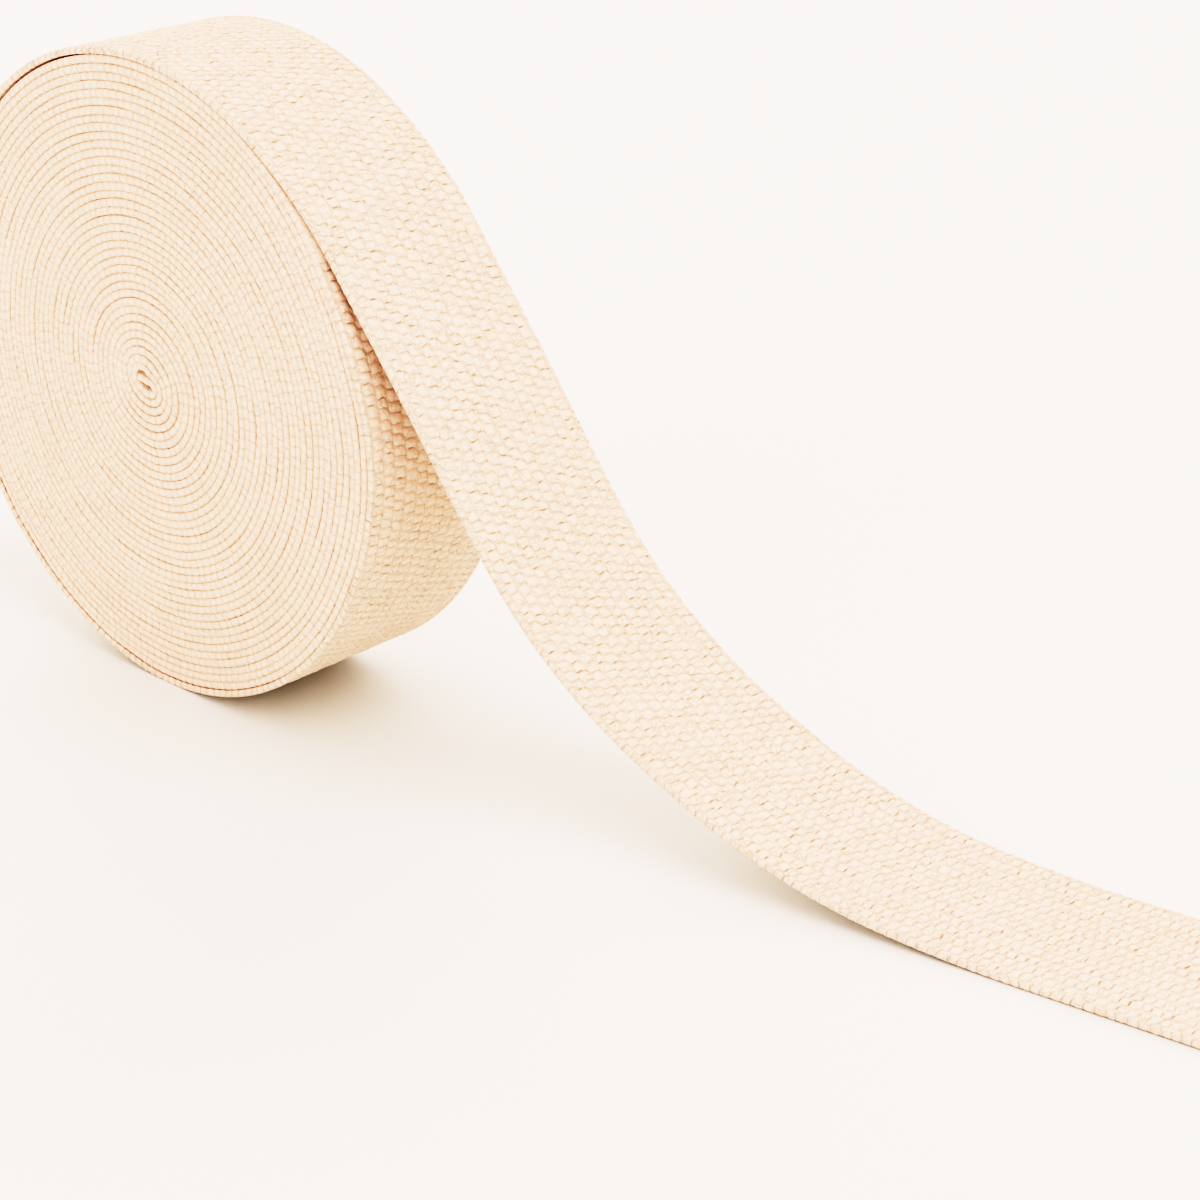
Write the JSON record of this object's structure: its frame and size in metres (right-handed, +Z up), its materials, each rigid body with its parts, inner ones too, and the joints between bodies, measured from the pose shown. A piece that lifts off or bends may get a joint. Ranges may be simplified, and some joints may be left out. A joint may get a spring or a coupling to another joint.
{
  "type": "roll of elastic",
  "caption": "Wide flat elastic band wound into a roll that stands on its edge, with its loose end running out over the surface.",
  "frame": {"origin": "middle of the small flat spot under the roll, on the surface it stands on", "axes": "+Z up, Y along the roll's axis, +X the way the loose end runs out"},
  "size_m": [0.2559, 0.0533, 0.1094],
  "materials": {
    "elastic": "matt, undyed ecru knit"
  },
  "bodies": {
    "root": {"wound_roll": "elastic", "loose_end": "elastic"}
  },
  "joints": []
}
